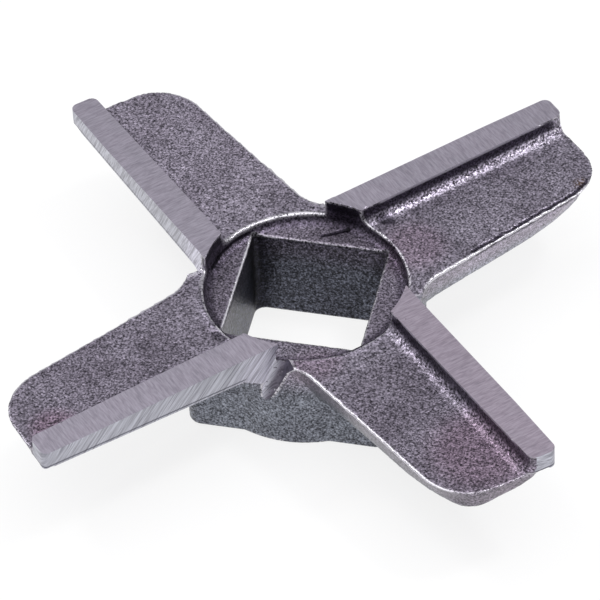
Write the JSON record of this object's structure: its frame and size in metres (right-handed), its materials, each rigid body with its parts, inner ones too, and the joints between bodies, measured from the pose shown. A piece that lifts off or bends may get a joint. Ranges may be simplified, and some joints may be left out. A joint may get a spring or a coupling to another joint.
{
  "type": "meat grinder knife",
  "caption": "Cross-shaped meat grinder knife: drafted cast arms, each with a raised ground cutting strip, round recess, square drive bore and deep hub.",
  "frame": {"origin": "centre of the hub's base, on the drive bore's axis", "axes": "+Z along the bore axis, towards the cutting face; +X and +Y square to the sides of the bore, so the arms lie midway between the axes"},
  "size_m": [0.045, 0.045, 0.0104],
  "materials": {
    "knife_steel": "shot-blasted cast surface, dark violet grey, with the cutting strips and leading faces ground bright"
  },
  "bodies": {
    "root": {"cross_knife": "knife_steel"}
  },
  "joints": []
}
